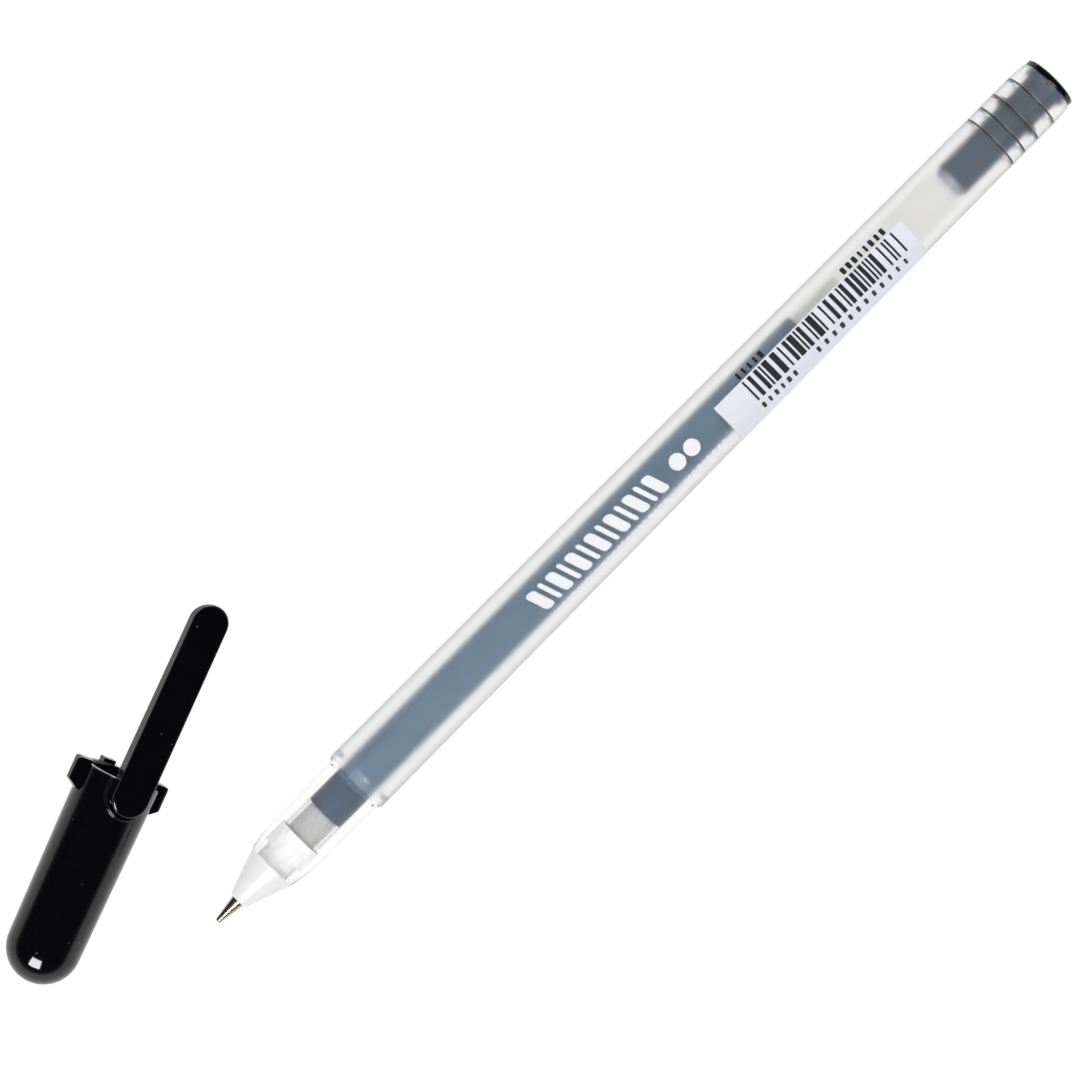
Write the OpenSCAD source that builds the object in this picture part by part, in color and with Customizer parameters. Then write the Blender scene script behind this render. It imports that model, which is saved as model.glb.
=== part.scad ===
// Gel pen lying along +X with its cap off beside it, both resting on z = 0. Millimetres.

/* [Pen] */
// Length of the pen from the ball to the end plug's disc
pen_l = 141.3; // [115:0.1:175]
// Diameter of the barrel just behind the step, its widest place
barrel_d = 8.6; // [7:0.1:11]
// Distance from the ball to the step the cap's rim stops at
step_x = 22.9; // [19:0.1:28]
// Height of the step between the neck and the barrel
step_h = 0.475; // [0.3:0.025:0.7]
// How much slimmer the tail's radius is than the barrel's
tail_drop = 0.46; // [0.2:0.02:0.7]
// Wall of the barrel and of its neck
barrel_wall = 0.86; // [0.6:0.02:1]

/* [Point and nose] */
// Diameter of the writing ball
ball_d = 0.6; // [0.4:0.1:1]
// Length of the metal point that shows
point_l = 3.57; // [2.8:0.1:4.5]
// Diameter of the metal point where it enters the nose cone
point_d = 1.85; // [1.5:0.05:2.3]
// Distance from the ball to the front edge of the neck
nose_l = 9.4; // [7.5:0.1:11.5]
// Length of the grooved collar behind the nose cone
collar_l = 1.9; // [1.2:0.1:2.4]
// Length of the stem pressed into the neck
stem_l = 2.9; // [2:0.1:4]
// Length of the nipple inside the refill tube
nipple_l = 4; // [3:0.1:5]

/* [Refill] */
// Wall of the refill tube
tube_wall = 0.5; // [0.3:0.05:0.7]
// Share of the pen's length at which the ink ends
ink_share = 0.7; // [0.3:0.01:0.78]
// Length of the follower behind the ink
follower_l = 7; // [4:0.5:9]

/* [End plug] */
// Thickness of the disc outside the barrel
disc_t = 1.1; // [0.8:0.1:1.5]
// Length of the plug's stem inside the barrel
plug_stem_l = 16.9; // [12:0.1:21]

/* [Label] */
// Length of the label along the barrel
label_l = 31.3; // [25:0.1:38]
// Distance from the label to the end of the pen
label_back = 25.25; // [22:0.05:30]
// Angle the label covers round the barrel, in degrees
label_sweep = 100; // [80:1:120]

/* [Cap] */
// Length of the cap from its dome's centre to its rim
cap_tube_l = 22.65; // [19:0.05:28]
// Wall of the cap at its rim
cap_wall = 0.995; // [0.6:0.005:1.1]
// How much slimmer the cap's radius is at the dome than at the rim
cap_taper = 0.33; // [0.1:0.01:0.4]
// Distance the clip reaches past the rim
clip_reach = 23.4; // [18:0.1:29]
// Width of the clip
clip_w = 4.65; // [3.7:0.05:5.4]
// Thickness of the clip at the rim
clip_t = 1.1; // [0.9:0.05:1.4]
// How much thinner the clip is at its end
clip_thin = 0.3; // [0:0.05:0.4]
// Height of the fins over the rim's outside
fin_h = 1.4; // [1:0.1:1.8]
// Width of the fins
fin_w = 1.6; // [1.3:0.1:2]

/* [Layout] */
// Position of the dome's centre along the pen, from the ball
cap_x = -16.6; // [-25:0.1:-14]
// Position of the dome's centre to the left of the pen's axis
cap_y = 12.55; // [11:0.05:20]
// Angle between the cap's axis and the pen's, in degrees
cap_heading = 20.25; // [0:0.05:35]
// Roll of the clip from upright towards the pen, in degrees
cap_roll = 29; // [0:1:40]

/* [Fits] */
// Radial clearance of the pieces pressed together
press_gap = 0.01; // [0.01:0.005:0.02]
// Radial clearance of the ball in its socket
ball_gap = 0.015; // [0.01:0.005:0.03]
// Radial clearance of the follower in the refill tube
follower_gap = 0.02; // [0.01:0.01:0.05]
// Radial clearance of the cap on the neck
cap_gap = 0.05; // [0.02:0.01:0.1]
// Clearance under the clip and the fins over the capped barrel
clip_gap = 0.12; // [0.08:0.02:0.3]
// Clearance of the refill tube in the neck
tube_gap = 0.415; // [0.2:0.005:0.6]

/* [Hidden] */
$fn = 96;
barrel_r = barrel_d / 2;
neck_r = barrel_r - step_h;
neck_bore_r = neck_r - barrel_wall;
tube_r = neck_bore_r - tube_gap;
tube_in_r = tube_r - tube_wall;
tail_r = barrel_r - tail_drop;
barrel_end = pen_l - disc_t;
tail_back = 10.7;
tail_x = pen_l - tail_back;
tail_bore_r = tail_r - barrel_wall;
wide_x = step_x + 0.75;
wide_bore_x = step_x + 2;
wide_bore_r = barrel_r - barrel_wall;
tail_round = 2.6;
end_r = tail_r - 0.37;

// The neck's front swells along a power curve from the nose cone to its full radius.
front_drop = 0.525;
nose_r = neck_r - front_drop;
neck_full_x = nose_l + 0.63 * (step_x - nose_l);
neck_steps = 12;
neck_power = 3.4;
neck_front = [for (i = [0 : neck_steps]) neck_point(i / neck_steps)];

// The grooves round the tail, by their distance from the end of the pen.
ring_back = [tail_back, 8.7, 6.5, 3.8];
ring_w = 0.3;
ring_deep = 0.13;
groove_pts = [for (b = ring_back) each groove_points(pen_l - b)];

// The barrel's outer edge rounds in towards the end plug.
round_steps = 8;
tail_curve = [for (i = [0 : round_steps]) tail_point(90 * i / round_steps)];

ball_r = ball_d / 2;
lip_x = 0.4 * ball_r;
lip_r = 1.12 * ball_r;
point_r = point_d / 2;
seat_x = point_l + 0.83;
shank_r = point_r + 0.18;
shank_end = nose_l + 1;
channel_r = 0.55 * point_r;
feed_r = 0.5 * ball_r;
feed_x = 0.7 * point_l;
nose_front_r = point_r + 0.35;
collar_r = neck_bore_r - 0.65;
collar_end = nose_l + collar_l;
stem_end = collar_end + stem_l;
nipple_end = stem_end + nipple_l;
nipple_r = tube_in_r - press_gap;
nose_channel_r = 0.8 * shank_r;

plug_front = barrel_end - plug_stem_l;
plug_lead = 1;
plug_r = tail_bore_r - 0.63;
plug_tip_r = plug_r - 0.45;
bead_x = pen_l - 6.9;
bead_l = 0.9;
seat_l = 1.2;
disc_r = end_r + 0.08;
disc_dome = 0.35;
tube_end = plug_front - 0.3;

ink_end = ink_share * pen_l;
bulge = 0.4;
bulge_r = (pow(tube_in_r, 2) + pow(bulge, 2)) / (2 * bulge);
ink_gap = 0.01;
follower_r = tube_in_r - follower_gap;

label_t = 0.06;
label_gap = 0.01;
label_x2 = pen_l - label_back;
label_x1 = label_x2 - label_l;
label_start = 180 - 15;

bore_r = neck_r + cap_gap;
rim_r = bore_r + cap_wall;
dome_r = rim_r - cap_taper;
over_r = barrel_r + clip_gap;
clip_z = over_r + 0.05;
clip_r = clip_w / 2;
clip_top = clip_z + clip_t;
edge_round = 0.35;
edge_steps = 5;
root_x = cap_tube_l - 1.6;
root_z = bore_r - 0.3;
clip_h = clip_top - root_z;
groove_w = 0.18;
lip_w = 0.42;
lip_h = 0.3;
lip_step = 0.16;
fin_r = rim_r + fin_h;
fin_low = cap_tube_l - 3.4;
fin_edge = cap_tube_l - 2.5;
fin_top = cap_tube_l + 0.45;
fin_round = 0.5;
fin_corner = 0.6;
fin_root = rim_r - 0.4;
pad_x = cap_tube_l - step_x;
pad_t = 2.2;
pad_r = 0.46 * dome_r;
pad_dimple = 1.2;
inner_cone_x = pad_x + nose_l - 1.15;
inner_cone_r = pad_r + 0.2;

// The cap rests on its dome and on the lower corner of its bottom fin, which tips its rim up.
fin_deep = (fin_r - fin_round) * cos(cap_roll) + (fin_w / 2 - fin_round) * sin(cap_roll) + fin_round;
cap_tilt = atan(fin_deep / fin_edge) - asin(dome_r / sqrt(pow(fin_deep, 2) + pow(fin_edge, 2)));

// Offsets that put the middle of the whole layout at the origin.
clip_end_x = cap_tube_l + clip_reach - clip_r;
clip_swing = clip_r * sqrt(pow(sin(cap_heading), 2) + pow(cos(cap_heading) * cos(cap_roll), 2));
clip_lean = clip_z * sin(cap_roll) * cos(cap_heading);
y_high = cap_y + clip_end_x * cos(cap_tilt) * sin(cap_heading) + clip_swing - clip_lean;
off_x = -(cap_x - dome_r + pen_l) / 2;
off_y = -(y_high - barrel_r) / 2;

function neck_at(x) = neck_r - front_drop * pow((neck_full_x - x) / (neck_full_x - nose_l), neck_power);
function neck_x(t) = nose_l + t * (neck_full_x - nose_l);
function neck_point(t) = [neck_at(neck_x(t)), neck_x(t)];
function tail_point(a) = [end_r + (tail_r - end_r) * cos(a), barrel_end - tail_round * (1 - sin(a))];
function groove_points(x) = [[tail_r, x - ring_w / 2], [tail_r - ring_deep, x], [tail_r, x + ring_w / 2]];
function barrel_at(x) = barrel_r + (tail_r - barrel_r) * (x - wide_x) / (tail_x - wide_x);
// The points of a corner rounded to radius r that ends at [x, y], from its side up to its top.
function corner(x, y, r) = [for (i = [0 : edge_steps]) arc_point(x - r, y - r, r, 90 * i / edge_steps)];
function arc_point(x, y, r, a) = [x + r * cos(a), y + r * sin(a)];

// Turns a [radius, distance] outline about the pen's axis.
module on_pen() {
  translate([off_x, off_y, barrel_r]) rotate([0, 90, 0]) children();
}

module turned(points) {
  on_pen() rotate_extrude() polygon(points);
}

module rod(x1, x2, r) {
  translate([0, 0, x1]) cylinder(h = x2 - x1, r = r);
}

// Places what is drawn about the cap's own axis, clip upwards, where the cap lies.
module on_cap() {
  translate([off_x + cap_x, off_y + cap_y, dome_r])
    rotate([0, 0, cap_heading])
      rotate([cap_roll, -cap_tilt, 0])
        children();
}

module barrel() {
  step_pts = [
    [neck_r, step_x],
    [neck_r + 0.12, step_x],
    [barrel_r - 0.06, step_x + 0.45],
    [barrel_r, wide_x]
  ];
  bore_pts = [
    [tail_bore_r, barrel_end],
    [tail_bore_r, tail_x],
    [wide_bore_r, wide_bore_x],
    [neck_bore_r, step_x],
    [neck_bore_r, nose_l]
  ];
  color([0.93, 0.94, 0.94, 0.5]) turned(concat(neck_front, step_pts, groove_pts, tail_curve, bore_pts));
}

module nose_cone() {
  color([0.95, 0.95, 0.95]) turned([
    [point_r + press_gap, point_l],
    [nose_front_r - 0.12, point_l],
    [nose_front_r, point_l + 0.15],
    [nose_r, nose_l],
    [collar_r, nose_l],
    [collar_r, collar_end],
    [neck_bore_r - press_gap, collar_end],
    [neck_bore_r - press_gap, stem_end],
    [nipple_r, stem_end],
    [nipple_r, nipple_end - 0.3],
    [nipple_r - 0.2, nipple_end],
    [nose_channel_r, nipple_end],
    [nose_channel_r, shank_end],
    [shank_r + press_gap, shank_end],
    [shank_r + press_gap, seat_x],
    [point_r + press_gap, seat_x]
  ]);
}

module point_body() {
  color([0.75, 0.72, 0.68]) on_pen() difference() {
    rotate_extrude() polygon([
      [0, lip_x],
      [lip_r, lip_x],
      [point_r, point_l],
      [point_r, seat_x],
      [shank_r, seat_x],
      [shank_r, shank_end],
      [0, shank_end]
    ]);
    translate([0, 0, ball_r]) sphere(r = ball_r + ball_gap);
    rod(ball_r, shank_end + 1, feed_r);
    rod(feed_x, shank_end + 1, channel_r);
  }
}

module writing_ball() {
  color([0.55, 0.55, 0.58]) on_pen() translate([0, 0, ball_r]) sphere(r = ball_r);
}

module refill_tube() {
  color([0.9, 0.92, 0.92, 0.5]) on_pen() difference() {
    rod(stem_end, tube_end, tube_r);
    rod(stem_end - 1, tube_end + 1, tube_in_r);
  }
}

module gel_ink() {
  color([0.1, 0.13, 0.18]) on_pen() difference() {
    rod(nipple_end, ink_end, tube_in_r - ink_gap);
    translate([0, 0, ink_end - bulge + bulge_r]) sphere(r = bulge_r + ink_gap);
  }
}

module ink_follower() {
  color([0.85, 0.88, 0.8, 0.6]) on_pen() intersection() {
    rod(ink_end - bulge, ink_end + follower_l, follower_r);
    translate([0, 0, ink_end - bulge + bulge_r]) sphere(r = bulge_r);
  }
}

module end_plug() {
  color([0.06, 0.06, 0.07]) turned([
    [0, plug_front],
    [plug_tip_r, plug_front],
    [plug_r, plug_front + plug_lead],
    [plug_r, bead_x - 0.25],
    [tail_bore_r - press_gap, bead_x],
    [tail_bore_r - press_gap, bead_x + bead_l],
    [plug_r, bead_x + bead_l + 0.25],
    [plug_r, barrel_end - seat_l],
    [tail_bore_r - press_gap, barrel_end - seat_l + 0.3],
    [tail_bore_r - press_gap, barrel_end],
    [disc_r - 0.1, barrel_end],
    [disc_r, barrel_end + 0.1],
    [disc_r, pen_l - disc_dome - 0.15],
    [disc_r - 0.2, pen_l - disc_dome],
    [0.7 * disc_r, pen_l - 0.4 * disc_dome],
    [0.35 * disc_r, pen_l - 0.08 * disc_dome],
    [0, pen_l]
  ]);
}

module barcode_label() {
  color([0.9, 0.9, 0.93]) on_pen() rotate([0, 0, label_start]) rotate_extrude(angle = label_sweep) polygon([
    [barrel_at(label_x1) + label_gap, label_x1],
    [barrel_at(label_x1) + label_gap + label_t, label_x1],
    [barrel_at(label_x2) + label_gap + label_t, label_x2],
    [barrel_at(label_x2) + label_gap, label_x2]
  ]);
}

// A flat tongue shape on the cap, round at its low end, from the root's centre up to length l.
module tongue(r, l) {
  circle(r = r);
  translate([0, -r]) square([l, 2 * r]);
}

// Half the clip's section: flat on top, with a rounded edge.
module clip_section() {
  polygon(concat([[0, 0], [clip_r, 0]], corner(clip_r, clip_h, edge_round), [[0, clip_h]]));
}

module clip_plate() {
  long = cap_tube_l - root_x + clip_reach - clip_r;
  translate([root_x, 0, root_z]) {
    for (x = [0, long]) translate([x, 0, 0]) rotate_extrude() clip_section();
    for (side = [0, 1]) mirror([0, side, 0]) rotate([90, 0, 90]) linear_extrude(long) clip_section();
  }
}

// The raised lip round the clip's root, in two low steps, parted from the clip by a narrow groove.
module root_lip() {
  for (i = [0, 1]) intersection() {
    translate([root_x, 0, root_z]) linear_extrude(clip_top)
      tongue(clip_r + groove_w + lip_w - i * lip_step, cap_tube_l - root_x);
    rotate([0, 90, 0]) cylinder(h = cap_tube_l, r = rim_r + lip_h * (1 + i) / 2);
  }
}

module root_groove() {
  translate([root_x, 0, rim_r - 0.25]) linear_extrude(clip_top) tongue(clip_r + groove_w, clip_w);
}

module fin() {
  intersection() {
    rotate([90, 0, 0]) translate([0, 0, -fin_w]) linear_extrude(2 * fin_w) polygon(concat(
      [[fin_low, fin_root], [fin_top, fin_root]],
      corner(fin_top, fin_r, fin_corner),
      [[fin_edge, fin_r], [fin_low, rim_r + 0.1]]
    ));
    rotate([90, 0, 90]) linear_extrude(fin_top + 1) union() {
      translate([-fin_w / 2, 0]) square([fin_w, fin_r - fin_round]);
      translate([-fin_w / 2 + fin_round, 0]) square([fin_w - 2 * fin_round, fin_r]);
      for (side = [-1, 1]) translate([side * (fin_w / 2 - fin_round), fin_r - fin_round])
        circle(r = fin_round);
    }
  }
}

// What is hollow in the cap, and the room its clip and fins leave over the barrel past the rim.
module cap_hollow() {
  rotate([0, 90, 0]) rotate_extrude() polygon([
    [0, pad_x - pad_t],
    [pad_r + press_gap, pad_x - pad_t],
    [pad_r + press_gap, pad_x],
    [inner_cone_r, pad_x + 0.4],
    [bore_r, inner_cone_x],
    [bore_r, cap_tube_l - 0.25],
    [bore_r + 0.2, cap_tube_l],
    [over_r, cap_tube_l],
    [over_r + clip_thin, cap_tube_l + clip_reach],
    [over_r + clip_thin, cap_tube_l + clip_reach + clip_w],
    [0, cap_tube_l + clip_reach + clip_w]
  ]);
}

module cap() {
  color([0.05, 0.05, 0.06]) on_cap() difference() {
    union() {
      difference() {
        union() {
          sphere(r = dome_r);
          rotate([0, 90, 0]) rotate_extrude() polygon([
            [0, 0], [dome_r, 0], [rim_r, cap_tube_l - 0.15], [rim_r - 0.15, cap_tube_l], [0, cap_tube_l]
          ]);
          root_lip();
        }
        root_groove();
      }
      clip_plate();
      for (a = [90, 180, 270]) rotate([a, 0, 0]) fin();
    }
    cap_hollow();
  }
}

module cap_seal() {
  color([0.3, 0.3, 0.3]) on_cap() difference() {
    rotate([0, 90, 0]) rod(pad_x - pad_t, pad_x, pad_r);
    translate([pad_x + pad_dimple - ball_r / 2, 0, 0]) sphere(r = pad_dimple);
  }
}

cap();
cap_seal();
barrel();
end_plug();
nose_cone();
point_body();
writing_ball();
refill_tube();
gel_ink();
ink_follower();
barcode_label();
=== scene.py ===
"""Gel pen and its cap on a pale floor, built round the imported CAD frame."""
import math
import random

import bmesh
import bpy
import numpy as np
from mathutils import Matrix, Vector


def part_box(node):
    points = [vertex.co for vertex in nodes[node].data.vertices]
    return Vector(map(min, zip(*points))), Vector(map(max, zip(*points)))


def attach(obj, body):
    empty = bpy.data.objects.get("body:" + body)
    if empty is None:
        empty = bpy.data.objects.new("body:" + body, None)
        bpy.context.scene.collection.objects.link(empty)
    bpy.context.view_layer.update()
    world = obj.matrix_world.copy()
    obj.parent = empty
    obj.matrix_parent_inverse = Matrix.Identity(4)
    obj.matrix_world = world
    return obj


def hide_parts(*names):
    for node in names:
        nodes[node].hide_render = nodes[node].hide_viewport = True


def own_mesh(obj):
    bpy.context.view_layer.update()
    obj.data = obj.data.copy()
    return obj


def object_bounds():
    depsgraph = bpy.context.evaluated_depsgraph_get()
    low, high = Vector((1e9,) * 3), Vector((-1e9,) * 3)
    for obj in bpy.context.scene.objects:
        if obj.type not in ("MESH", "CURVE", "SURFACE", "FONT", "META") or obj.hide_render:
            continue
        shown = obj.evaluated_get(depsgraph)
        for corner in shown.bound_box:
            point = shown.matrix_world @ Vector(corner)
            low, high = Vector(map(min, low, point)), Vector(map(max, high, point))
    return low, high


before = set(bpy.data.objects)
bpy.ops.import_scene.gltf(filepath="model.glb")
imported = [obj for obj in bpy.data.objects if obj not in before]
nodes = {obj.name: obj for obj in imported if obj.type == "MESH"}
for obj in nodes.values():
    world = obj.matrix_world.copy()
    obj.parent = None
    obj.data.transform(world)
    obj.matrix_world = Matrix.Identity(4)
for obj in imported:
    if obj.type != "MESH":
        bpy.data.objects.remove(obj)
CAD_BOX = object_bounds()
MM = 0.001
scene = bpy.context.scene


# Where things are, read from the CAD frame.
barrel_lo, barrel_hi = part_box("barrel")
AXIS_Y = (barrel_lo.y + barrel_hi.y) / 2
AXIS_Z = (barrel_lo.z + barrel_hi.z) / 2
BALL_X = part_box("writing_ball")[0].x
CENTRE = (CAD_BOX[0] + CAD_BOX[1]) / 2

# Places along the pen where a look changes, in millimetres from the ball's tip, as (from, to).
NOSE_GLOW_END = (8.8, 9.4)
NOSE_STEM_START = (9.2, 9.6)
NIPPLE_END = (18.0, 18.4)
INK_PAINTED_VEIL_START = (22.9, 23.6)
FROST_START = (23.3, 23.7)
PLUG_TIP = (123.3, 124.5)
TAIL_HAZE_START = (130.3, 130.9)
RINGS_START = (130.3, 130.4)
BEAD_START = (134.2, 134.5)
BEAD_END = (135.2, 135.5)
RINGS_END = (137.7, 137.8)
DISC_START = (139.8, 140.2)

# The barrel's outside radius along its length, from the frame's own mesh. Its bores all lie
# within OUTSIDE_FROM of the axis.
OUTSIDE_FROM = 3.58 * MM
skin = nodes["barrel"].data.vertices
radii = ((v.co.x, math.hypot(v.co.y - AXIS_Y, v.co.z - AXIS_Z)) for v in skin)
outer = sorted((x, r) for x, r in radii if r > OUTSIDE_FROM)
OUTER_X = [x for x, _ in outer]
OUTER_R = [r for _, r in outer]


def pen_x(mm):
    """The frame's x at a distance in millimetres from the ball's tip."""
    return BALL_X + mm * MM


def outer_radius(x):
    return float(np.interp(x, OUTER_X, OUTER_R))


def on_barrel(x, angle, lift):
    """A point over the barrel at x, turned by an angle in degrees from the top towards -Y."""
    r = outer_radius(x) + lift
    a = math.radians(angle)
    return Vector((x, AXIS_Y - r * math.sin(a), AXIS_Z + r * math.cos(a)))


# Camera, straight above the layout, turned so that the pen lies across the frame's diagonal.
CAMERA_HEIGHT = 0.5
CAMERA_ALONG = 59.3
CAMERA_ASIDE = 4.7 * MM
CAMERA_TURN = math.radians(-45.24)
cam_data = bpy.data.cameras.new("camera")
cam_data.sensor_width = 36
cam_data.lens = 140
cam = bpy.data.objects.new("camera", cam_data)
cam.location = (pen_x(CAMERA_ALONG), AXIS_Y + CAMERA_ASIDE, AXIS_Z + CAMERA_HEIGHT)
cam.rotation_euler = (0, 0, CAMERA_TURN)
scene.collection.objects.link(cam)
scene.camera = cam


# Materials.
class Mat:
    """A node material with short helpers for the maths that the looks share."""

    def __init__(self, name):
        self.mat = bpy.data.materials.new(name)
        self.mat.use_nodes = True
        self.tree = self.mat.node_tree
        self.bsdf = self.tree.nodes["Principled BSDF"]
        self.coords = self.tree.nodes.new("ShaderNodeTexCoord").outputs["Object"]

    def put(self, socket, value):
        if isinstance(value, bpy.types.NodeSocket):
            self.tree.links.new(value, socket)
        else:
            socket.default_value = value

    def set(self, **inputs):
        for key, value in inputs.items():
            self.put(self.bsdf.inputs[key.replace("_", " ")], value)

    def math(self, op, a, b=0.0):
        n = self.tree.nodes.new("ShaderNodeMath")
        n.operation = op
        self.put(n.inputs[0], a)
        self.put(n.inputs[1], b)
        return n.outputs[0]

    def ramp(self, value, low, high, out_low=0.0, out_high=1.0):
        n = self.tree.nodes.new("ShaderNodeMapRange")
        n.interpolation_type = "SMOOTHSTEP"
        ends = {"From Min": low, "From Max": high, "To Min": out_low, "To Max": out_high}
        for key, v in {"Value": value, **ends}.items():
            self.put(n.inputs[key], v)
        return n.outputs["Result"]

    def along(self, x, span, out_low=0.0, out_high=1.0):
        """A ramp over one of the places along the pen."""
        return self.ramp(x, pen_x(span[0]), pen_x(span[1]), out_low, out_high)

    def scaled(self, scale):
        n = self.tree.nodes.new("ShaderNodeMapping")
        self.put(n.inputs["Vector"], self.coords)
        n.inputs["Scale"].default_value = scale if isinstance(scale, tuple) else (scale,) * 3
        return n.outputs["Vector"]

    def noise(self, scale, detail=3.0, rough=0.5):
        n = self.tree.nodes.new("ShaderNodeTexNoise")
        self.put(n.inputs["Vector"], self.scaled(scale))
        n.inputs["Scale"].default_value = 1.0
        n.inputs["Detail"].default_value = detail
        n.inputs["Roughness"].default_value = rough
        return n.outputs["Fac"]

    def mix(self, fac, a, b):
        n = self.tree.nodes.new("ShaderNodeMix")
        n.data_type = "RGBA"
        self.put(n.inputs[0], fac)
        self.put(n.inputs[6], a if isinstance(a, bpy.types.NodeSocket) else (*a, 1))
        self.put(n.inputs[7], b if isinstance(b, bpy.types.NodeSocket) else (*b, 1))
        return n.outputs[2]

    def bump(self, height, distance, strength, edge=0.0):
        """Bump from a height, over edges softened to the given radius."""
        n = self.tree.nodes.new("ShaderNodeBump")
        n.inputs["Strength"].default_value = strength
        n.inputs["Distance"].default_value = distance
        self.put(n.inputs["Height"], height)
        if edge:
            soft = self.tree.nodes.new("ShaderNodeBevel")
            soft.samples = 6
            soft.inputs["Radius"].default_value = edge
            self.put(n.inputs["Normal"], soft.outputs["Normal"])
        self.put(self.bsdf.inputs["Normal"], n.outputs["Normal"])

    def axes(self):
        """The x, y and z of the point shaded, in the frame."""
        n = self.tree.nodes.new("ShaderNodeSeparateXYZ")
        self.put(n.inputs[0], self.coords)
        return n.outputs

    def radius(self):
        """Distance from the pen's axis."""
        _, y, z = self.axes()
        dy = self.math("SUBTRACT", y, AXIS_Y)
        dz = self.math("SUBTRACT", z, AXIS_Z)
        squares = (self.math("MULTIPLY", dy, dy), self.math("MULTIPLY", dz, dz))
        return self.math("SQRT", self.math("ADD", *squares))


def barrel_material():
    """Moulded clear plastic: glossy neck, frosted outside up to the first ring, hazy past it; the
    bottoms of the tail's ring grooves carry painted shade.
    """
    m = Mat("barrel_frosted")
    x = m.axes()[0]
    radius = m.radius()
    outside = m.ramp(radius, 3.54 * MM, 3.6 * MM)
    after_step = m.along(x, FROST_START)
    tail_haze = m.along(x, TAIL_HAZE_START, 1.0, 0.8)
    frost = m.math("MULTIPLY", m.math("MULTIPLY", after_step, tail_haze), outside)
    in_tail = m.math("MULTIPLY", m.along(x, RINGS_START), m.along(x, RINGS_END, 1.0, 0.0))
    # Painted shade: deep in the tail's ring grooves the colour turns near black and less light passes
    # through.
    deep = m.math("MULTIPLY", m.ramp(radius, 3.79 * MM, 3.836 * MM, 1.0, 0.0), outside)
    groove_painted_shade = m.math("MULTIPLY", in_tail, deep)
    grain = m.noise(9000, 2.0)
    cloud = m.noise((260, 900, 900), 3.0)
    streaks = m.noise((300, 2200, 2200), 2.0)
    rough_frost = m.math("ADD", 0.3, m.math("MULTIPLY", cloud, 0.1))
    rough_clear = m.math("ADD", 0.02, m.math("MULTIPLY", streaks, 0.06))
    rougher = m.math("MULTIPLY", frost, m.math("SUBTRACT", rough_frost, rough_clear))
    clear = m.math("SUBTRACT", 0.99, m.math("MULTIPLY", frost, 0.01))
    body = m.mix(frost, (0.965, 0.96, 0.965), (0.965, 0.963, 0.956))
    m.set(
        Base_Color=m.mix(groove_painted_shade, body, (0.05, 0.055, 0.065)),
        Roughness=m.math("ADD", rougher, rough_clear),
        Transmission_Weight=m.math("SUBTRACT", clear, m.math("MULTIPLY", groove_painted_shade, 0.5)),
        IOR=1.49,
    )
    m.bump(m.math("MULTIPLY", grain, frost), 0.004 * MM, 0.5)
    return m.mat


def tube_material():
    """Natural extruded plastic, faintly hazy, with fine draw lines and a faint stain from the ink."""
    m = Mat("tube_natural")
    x = m.axes()[0]
    ink_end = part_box("gel_ink")[1].x
    past_nipple = m.along(x, NIPPLE_END)
    before_end = m.ramp(x, ink_end - 0.4 * MM, ink_end + 0.4 * MM, 1.0, 0.0)
    stain = m.math("MULTIPLY", past_nipple, before_end)
    lines = m.noise((40, 6000, 6000), 2.0)
    m.set(
        Base_Color=m.mix(stain, (0.985, 0.985, 0.98), (0.84, 0.93, 0.985)),
        Roughness=m.math("ADD", 0.06, m.math("MULTIPLY", lines, 0.08)),
        Transmission_Weight=0.96,
        IOR=1.48,
    )
    return m.mat


def nose_material():
    """White translucent moulding, whose stem and nipple inside the neck let more light through and
    are painted paler than the cone, in place of light that reaches them only dimly there.
    """
    m = Mat("nose_white")
    x = m.axes()[0]
    cloud = m.noise((500, 900, 900), 2.0)
    white = m.mix(cloud, (0.88, 0.875, 0.88), (0.82, 0.83, 0.82))
    m.set(
        # Painted light: the stem and nipple inside the neck get a paler colour than the cone to make
        # up for the dim light there.
        Base_Color=m.mix(m.along(x, NOSE_STEM_START), white, (0.98, 0.98, 0.97)),
        Roughness=m.math("ADD", 0.22, m.math("MULTIPLY", cloud, 0.12)),
        IOR=1.49,
        Specular_IOR_Level=0.2,
        Transmission_Weight=m.along(x, NOSE_STEM_START, 0.0, 0.15),
        Subsurface_Weight=m.along(x, NOSE_GLOW_END, 0.3, 0.0),
        Subsurface_Radius=(1.0, 1.0, 1.0),
        Subsurface_Scale=0.5 * MM,
    )
    m.bump(cloud, 0.003 * MM, 0.3)
    return m.mat


def metal_material(name, tint, turned):
    """Nickel-plated metal, faintly stained; fine turning rings run round the point."""
    m = Mat(name)
    rings = m.noise((26000, 400, 400), 2.0)
    stain = m.noise(2600, 2.0)
    m.set(
        Base_Color=m.mix(stain, tint, tuple(c * 0.82 for c in tint)),
        Metallic=1.0,
        Roughness=m.math("ADD", 0.2 if turned else 0.12, m.math("MULTIPLY", rings, 0.1)),
    )
    if turned:
        m.bump(rings, 0.006 * MM, 0.8)
    return m.mat


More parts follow.
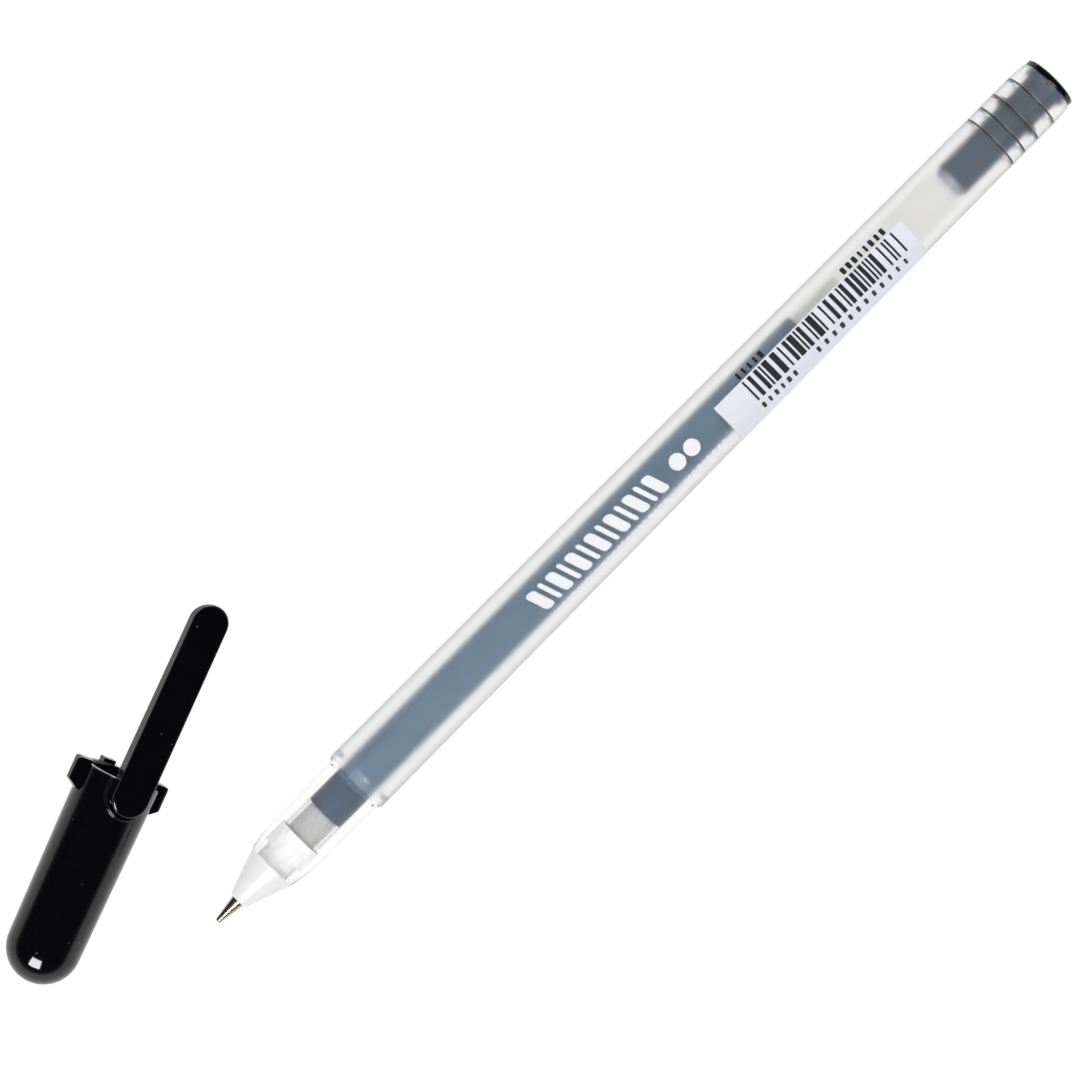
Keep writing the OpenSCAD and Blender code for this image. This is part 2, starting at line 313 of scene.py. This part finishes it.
def black_plastic(name, tint, rough, edge, painted_stem_veil=None):
    """Glossy black moulding with softened edges, faint flow marks, fine scuffs and specks of dust.

    The optional stem tone is for the plug's stem inside the barrel: painted light, greyer and bluer
    than the disc and paler still at its thin tip, standing in for the veil that the frosted barrel
    scatters over the black plug.
    """
    m = Mat(name)
    flow = m.noise(420, 2.0)
    scuff = m.noise((3800, 900, 3800), 4.0, 0.7)
    dust = m.ramp(m.noise(1500, 1.0), 0.79, 0.82)
    flow_marks_and_painted_veil = m.mix(flow, tint, tuple(c * 1.6 for c in tint))
    if painted_stem_veil:
        # Painted light: the stem inside the barrel takes the given greyer, bluer tone, in place of
        # the frost's veil; the bead and the disc stay black.
        x = m.axes()[0]
        painted_veil_tone = m.mix(m.along(x, PLUG_TIP), (0.4, 0.44, 0.5), painted_stem_veil)
        in_bead = m.math("MULTIPLY", m.along(x, BEAD_START), m.along(x, BEAD_END, 1.0, 0.0))
        in_disc = m.along(x, DISC_START)
        flow_marks_and_painted_veil = m.mix(m.math("MAXIMUM", in_bead, in_disc), painted_veil_tone, flow_marks_and_painted_veil)
    m.set(
        Base_Color=m.mix(dust, flow_marks_and_painted_veil, (0.12, 0.12, 0.12)),
        Roughness=m.math("ADD", rough, m.math("MULTIPLY", scuff, 0.06)),
        IOR=1.5,
        Specular_IOR_Level=0.36,
    )
    m.bump(flow, 0.02 * MM, 0.3, edge)
    return m.mat


def ink_material():
    """Dark gel, painted paler and bluer behind the frost than in the clear neck: a painted veil
    standing in for light that the frost scatters over it.
    """
    m = Mat("ink_dark")
    cloud = m.noise(500, 3.0)
    # Painted light: behind the frost the ink's colour is paler and bluer, in place of the frost's
    # scattered light.
    under_painted_frost_veil = m.along(m.axes()[0], INK_PAINTED_VEIL_START)
    ink_and_painted_veil_tone = m.mix(under_painted_frost_veil, (0.01, 0.07, 0.15), (0.08, 0.22, 0.36))
    m.set(
        Base_Color=m.mix(m.math("MULTIPLY", cloud, 0.2), ink_and_painted_veil_tone, (0.08, 0.17, 0.27)),
        Roughness=m.math("ADD", 0.12, m.math("MULTIPLY", cloud, 0.12)),
        Specular_IOR_Level=0.05,
    )
    m.bump(cloud, 0.004 * MM, 0.4)
    return m.mat


def plain(name, low, high, rough, scale, **extra):
    """A moulded or printed surface: two close tones mixed by noise, with uneven gloss."""
    m = Mat(name)
    cloud = m.noise(scale, 3.0)
    m.set(
        Base_Color=m.mix(cloud, low, high),
        Roughness=m.math("ADD", rough, m.math("MULTIPLY", cloud, 0.12)),
        **extra,
    )
    m.bump(cloud, 0.004 * MM, 0.4)
    return m.mat


cap_mat = black_plastic("cap_black", (0.0016, 0.0016, 0.0024), 0.05, 0.14 * MM)
# The plug's stem tone is painted light: the frost's veil over a black plug.
plug_mat = black_plastic(
    "plug_black", (0.0025, 0.0025, 0.0035), 0.05, 0.1 * MM, painted_stem_veil=(0.014, 0.044, 0.08)
)
steel_mat = metal_material("point_metal", (0.6, 0.54, 0.45), True)
ball_mat = metal_material("ball_metal", (0.5, 0.5, 0.52), False)
seal_mat = plain("seal_rubber", (0.3, 0.3, 0.3), (0.36, 0.36, 0.35), 0.6, 2400)
label_mat = plain("label_film", (0.78, 0.8, 0.88), (0.82, 0.84, 0.91), 0.3, 700)
ink_mat = ink_material()
print_mat = plain("print_white", (0.84, 0.86, 0.92), (0.9, 0.91, 0.95), 0.4, 1500)
mark_mat = plain("print_black", (0.012, 0.012, 0.014), (0.03, 0.03, 0.032), 0.35, 2500)
grease_mat = plain(
    "follower_grease", (0.9, 0.92, 0.86), (0.95, 0.96, 0.92), 0.12, 900,
    Transmission_Weight=0.85, IOR=1.46,
)

for name, mat in (
    ("cap", cap_mat),
    ("cap_seal", seal_mat),
    ("barrel", barrel_material()),
    ("end_plug", plug_mat),
    ("nose_cone", nose_material()),
    ("point_body", steel_mat),
    ("writing_ball", ball_mat),
    ("refill_tube", tube_material()),
    ("gel_ink", ink_mat),
    ("ink_follower", grease_mat),
    ("barcode_label", label_mat),
):
    slots = nodes[name].data.materials
    slots.clear()
    slots.append(mat)


# Pieces made here.
def add_piece(name, bm, mat, body):
    """Turns a bmesh into a named piece that rides on a body."""
    mesh = bpy.data.meshes.new(name)
    bmesh.ops.recalc_face_normals(bm, faces=bm.faces)
    bm.to_mesh(mesh)
    bm.free()
    mesh.materials.append(mat)
    piece = bpy.data.objects.new(name, mesh)
    scene.collection.objects.link(piece)
    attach(piece, body)
    return piece


def ink_column():
    """The ink, wetting the tube's wall, with a hollow rear face against the follower."""
    lo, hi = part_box("gel_ink")
    wetting, front_edge, bulge, follower_gap = 0.03 * MM, 0.05 * MM, 0.4 * MM, 0.02 * MM
    r = (hi.y - lo.y) / 2 + wetting
    sides, along, crown = 64, 24, 10
    rings = [(lo.x, r * 0.97)]
    for i in range(along + 1):
        rings.append((lo.x + front_edge + (hi.x - lo.x - front_edge) * i / along, r))
    sphere_r = (r * r + bulge * bulge) / (2 * bulge)
    for i in range(1, crown):
        t = r * (1 - i / crown)
        rings.append((hi.x - bulge + sphere_r - math.sqrt(sphere_r**2 - t**2), t))
    bm = bmesh.new()
    turns = [2 * math.pi * k / sides for k in range(sides)]
    loops = [
        [bm.verts.new((x, AXIS_Y + q * math.cos(a), AXIS_Z + q * math.sin(a))) for a in turns]
        for x, q in rings
    ]
    for a, b in zip(loops, loops[1:]):
        for k in range(sides):
            bm.faces.new((a[k], a[(k + 1) % sides], b[(k + 1) % sides], b[k])).smooth = True
    bm.faces.new(loops[0])
    tip = bm.verts.new((hi.x - bulge, AXIS_Y, AXIS_Z))
    for k in range(sides):
        bm.faces.new((loops[-1][k], loops[-1][(k + 1) % sides], tip)).smooth = True
    piece = add_piece("ink_column", bm, ink_mat, "pen")
    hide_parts("gel_ink")
    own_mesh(piece)


def patch(bm, x, angle, rows, lift, thick):
    """A thin closed patch on the barrel round (x, angle).

    Rows are (arc offset, left, right) in millimetres.
    """
    radius = outer_radius(x)
    grid = []
    for v, left, right in rows:
        a = angle + math.degrees(v * MM / radius)
        grid.append([on_barrel(x + u * MM, a, lift + h) for h in (0, thick) for u in (left, right)])
    verts = [[bm.verts.new(p) for p in row] for row in grid]
    for a, b in zip(verts, verts[1:]):
        for i, j in ((0, 1), (1, 3), (3, 2), (2, 0)):
            bm.faces.new((a[i], a[j], b[j], b[i]))
    for row in (verts[0], verts[-1]):
        bm.faces.new((row[0], row[1], row[3], row[2]))


# In millimetres: a pill's straight sides shorter than FLAT are left out, and no row's half
# width is under LEAST_HALF.
FLAT = 0.001
LEAST_HALF = 0.01


def pill_rows(width, height, corner, slant=0.0, steps=6, body=8):
    """Rows of a rounded rectangle, leaning by slant times its height."""
    corner = min(corner, width / 2, height / 2)
    angles = [math.pi / 2 * i / steps for i in range(steps + 1)]
    rows = [
        (-height / 2 + corner * (1 - math.cos(a)), width / 2 - corner + corner * math.sin(a))
        for a in angles
    ]
    middle = height - 2 * corner
    if middle > FLAT:
        rows += [(-height / 2 + corner + middle * i / body, width / 2) for i in range(1, body)]
    rows += [(-v, w) for v, w in reversed(rows[: steps + 1])]
    rows = [(v, max(w, LEAST_HALF)) for v, w in rows]
    return [(v, slant * v - w, slant * v + w) for v, w in rows]


PRINT_LIFT = 0.006 * MM
PRINT_THICK = 0.014 * MM


def barrel_print():
    """A generic band of slanted white pills, two discs after it and a row of dashes beside it."""
    bm = bmesh.new()
    tall, corner, angle, slant, disc = 3.1, 0.5, 4.5, 0.32, 2.1
    widths = (1.35, 0.62)
    x, end, gap = 53.6, 74.6, 0.62
    count = 0
    while x + widths[count % 2] < end:
        wide = widths[count % 2]
        pill = pill_rows(wide, tall, corner, slant)
        patch(bm, pen_x(x + wide / 2), angle, pill, PRINT_LIFT, PRINT_THICK)
        x += wide + gap
        count += 1
    for disc_x in (77.3, 79.7):
        patch(bm, pen_x(disc_x), angle, pill_rows(disc, disc, disc / 2), PRINT_LIFT, PRINT_THICK)
    add_piece("barrel_print", bm, print_mat, "pen")
    fine = bmesh.new()
    rng = random.Random(7)
    fine_tall, fine_corner, fine_angle, fine_gap = 0.6, 0.2, 40, 0.28
    for start, stop in ((54.2, 73.6), (76.2, 82.8)):
        x = start
        while x < stop:
            long = rng.uniform(0.35, 0.8)
            dash = pill_rows(long, fine_tall, fine_corner)
            patch(fine, pen_x(x + long / 2), fine_angle, dash, PRINT_LIFT, PRINT_THICK)
            x += long + fine_gap
    add_piece("barrel_fine_print", fine, print_mat, "pen")


def label_marks():
    """A made-up pattern of bars, and rows of small rounded blocks on and beside the label."""
    rng = random.Random(21)
    on_label, thick = 0.074 * MM, 0.01 * MM
    bars = bmesh.new()
    bar_tall, bar_corner, bar_angle = 2.95, 0.02, 9
    x, end, module = 89.2, 114.35, 0.264
    while x < end:
        wide = module * rng.choice((1, 1, 1, 1, 2, 2, 3))
        gap = module * rng.choice((1, 1, 1, 2, 2, 3))
        wide = min(wide, end - x)
        bar = pill_rows(wide, bar_tall, bar_corner, steps=1, body=12)
        patch(bars, pen_x(x + wide / 2), bar_angle, bar, on_label, thick)
        x += wide + gap
    add_piece("label_bars", bars, mark_mat, "pen")
    blocks = bmesh.new()
    block_tall, block_corner = 0.95, 0.16
    for start, count, pitch, angle, lift in (
        (89.5, 5, 0.93, -25, PRINT_LIFT),
        (107.1, 8, 0.93, -25, PRINT_LIFT),
        (89.4, 6, 1.05, 45, on_label),
        (98.6, 12, 1.33, 45, on_label),
    ):
        for i in range(count):
            long = rng.choice((0.35, 0.45, 0.55))
            block = pill_rows(long, block_tall, block_corner)
            patch(blocks, pen_x(start + i * pitch), angle, block, lift, thick)
    add_piece("label_blocks", blocks, mark_mat, "pen")


ink_column()
barrel_print()
label_marks()


# Floor and light.
def floor():
    bm = bmesh.new()
    bmesh.ops.create_grid(bm, x_segments=8, y_segments=8, size=2.0)
    mesh = bpy.data.meshes.new("floor")
    bm.to_mesh(mesh)
    bm.free()
    obj = bpy.data.objects.new("floor", mesh)
    scene.collection.objects.link(obj)
    m = Mat("floor_white")
    m.set(Base_Color=(0.1, 0.1, 0.1, 1), Roughness=0.9, Specular_IOR_Level=0.0)
    m.set(Emission_Color=(1, 1, 1, 1), Emission_Strength=0.97)
    mesh.materials.append(m.mat)


def softbox(name, direction, distance, size, radiance, seen_in):
    """A rectangular light facing the layout's centre.

    It is seen only in gloss, or only by diffuse surfaces and through clear ones.
    """
    wide, tall = size
    data = bpy.data.lights.new(name, "AREA")
    data.shape = "RECTANGLE"
    data.size = wide
    data.size_y = tall
    data.energy = radiance * math.pi * wide * tall
    obj = bpy.data.objects.new(name, data)
    obj.location = CENTRE + Vector(direction).normalized() * distance
    obj.rotation_mode = "QUATERNION"
    obj.rotation_quaternion = Vector(direction).to_track_quat("Z", "Y")
    obj.visible_glossy = seen_in == "gloss"
    obj.visible_diffuse = seen_in == "diffuse"
    obj.visible_transmission = seen_in == "diffuse"
    scene.collection.objects.link(obj)


def surroundings():
    """A studio that is light just over the floor and dark above.

    Rays that have passed through a clear part see an even pale grey, which lights what is inside.
    """
    world = bpy.data.worlds.new("studio")
    scene.world = world
    world.use_nodes = True
    tree = world.node_tree
    coords = tree.nodes.new("ShaderNodeTexCoord")
    split = tree.nodes.new("ShaderNodeSeparateXYZ")
    ramp = tree.nodes.new("ShaderNodeValToRGB")
    tree.links.new(coords.outputs["Generated"], split.inputs[0])
    tree.links.new(split.outputs["Z"], ramp.inputs[0])
    ramp.color_ramp.interpolation = "EASE"
    stops = ((0.0, 0.75), (0.07, 0.4), (0.17, 0.07), (0.4, 0.02))
    while len(ramp.color_ramp.elements) < len(stops):
        ramp.color_ramp.elements.new(0.5)
    for element, (place, level) in zip(ramp.color_ramp.elements, stops):
        element.position = place
        element.color = (level, level, level, 1)
    path = tree.nodes.new("ShaderNodeLightPath")
    tent = tree.nodes.new("ShaderNodeMix")
    tent.data_type = "RGBA"
    tree.links.new(path.outputs["Is Transmission Ray"], tent.inputs[0])
    tree.links.new(ramp.outputs[0], tent.inputs[6])
    tent.inputs[7].default_value = (0.8, 0.8, 0.8, 1)
    tree.links.new(tent.outputs[2], tree.nodes["Background"].inputs["Color"])


floor()
softbox(
    "key", (-0.781, -0.246, 0.574), distance=0.7, size=(0.34, 0.34), radiance=26, seen_in="gloss"
)
for side in (-1, 1):
    softbox(
        "panel", (side * 0.79, 0, 0.61), distance=1.1, size=(1.6, 1.2), radiance=2.5,
        seen_in="diffuse",
    )
surroundings()
scene.view_settings.view_transform = "Standard"
